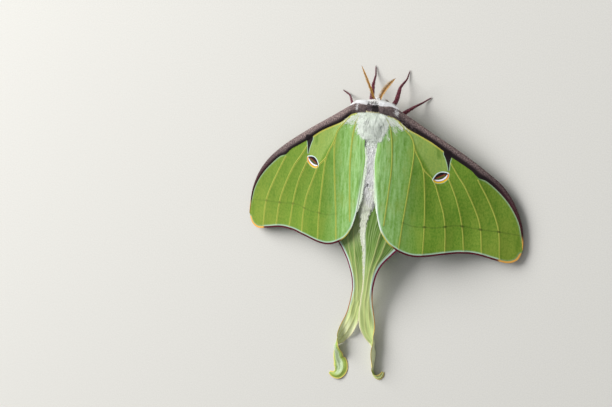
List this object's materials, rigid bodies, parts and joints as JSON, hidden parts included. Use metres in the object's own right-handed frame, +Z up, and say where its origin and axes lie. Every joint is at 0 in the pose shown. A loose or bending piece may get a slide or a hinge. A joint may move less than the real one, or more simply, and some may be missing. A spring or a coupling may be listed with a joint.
{
  "type": "luna moth",
  "caption": "Luna moth at rest: spread green wings with long twisted tails, white furry body, purple collar and feathered antennae, standing on its feet.",
  "frame": {"origin": "on the floor, under the middle of the whole model's width and length", "axes": "+X the moth's right, +Y towards its head, +Z up from the floor to its back"},
  "size_m": [0.0954, 0.0968, 0.0133],
  "materials": {
    "wing": "matt, finely scaled",
    "tail": "matt, finely scaled",
    "fur": "long soft hair",
    "collar_fur": "short dense hair",
    "feeler": "feathered, matt",
    "leg": "short hair over horn",
    "eye": "glossy"
  },
  "bodies": {
    "root": {"abdomen": "fur", "antenna_left": "feeler", "antenna_right": "feeler", "collar": "collar_fur", "eye_left": "eye", "eye_right": "eye", "forewing_left": "wing", "forewing_right": "wing", "head": "fur", "hindwing_left": "wing", "hindwing_right": "wing", "leg_front_left": "leg", "leg_front_right": "leg", "leg_hind_left": "leg", "leg_hind_right": "leg", "leg_middle_left": "leg", "leg_middle_right": "leg", "tail_left": "tail", "tail_right": "tail", "thorax": "fur"}
  },
  "joints": []
}
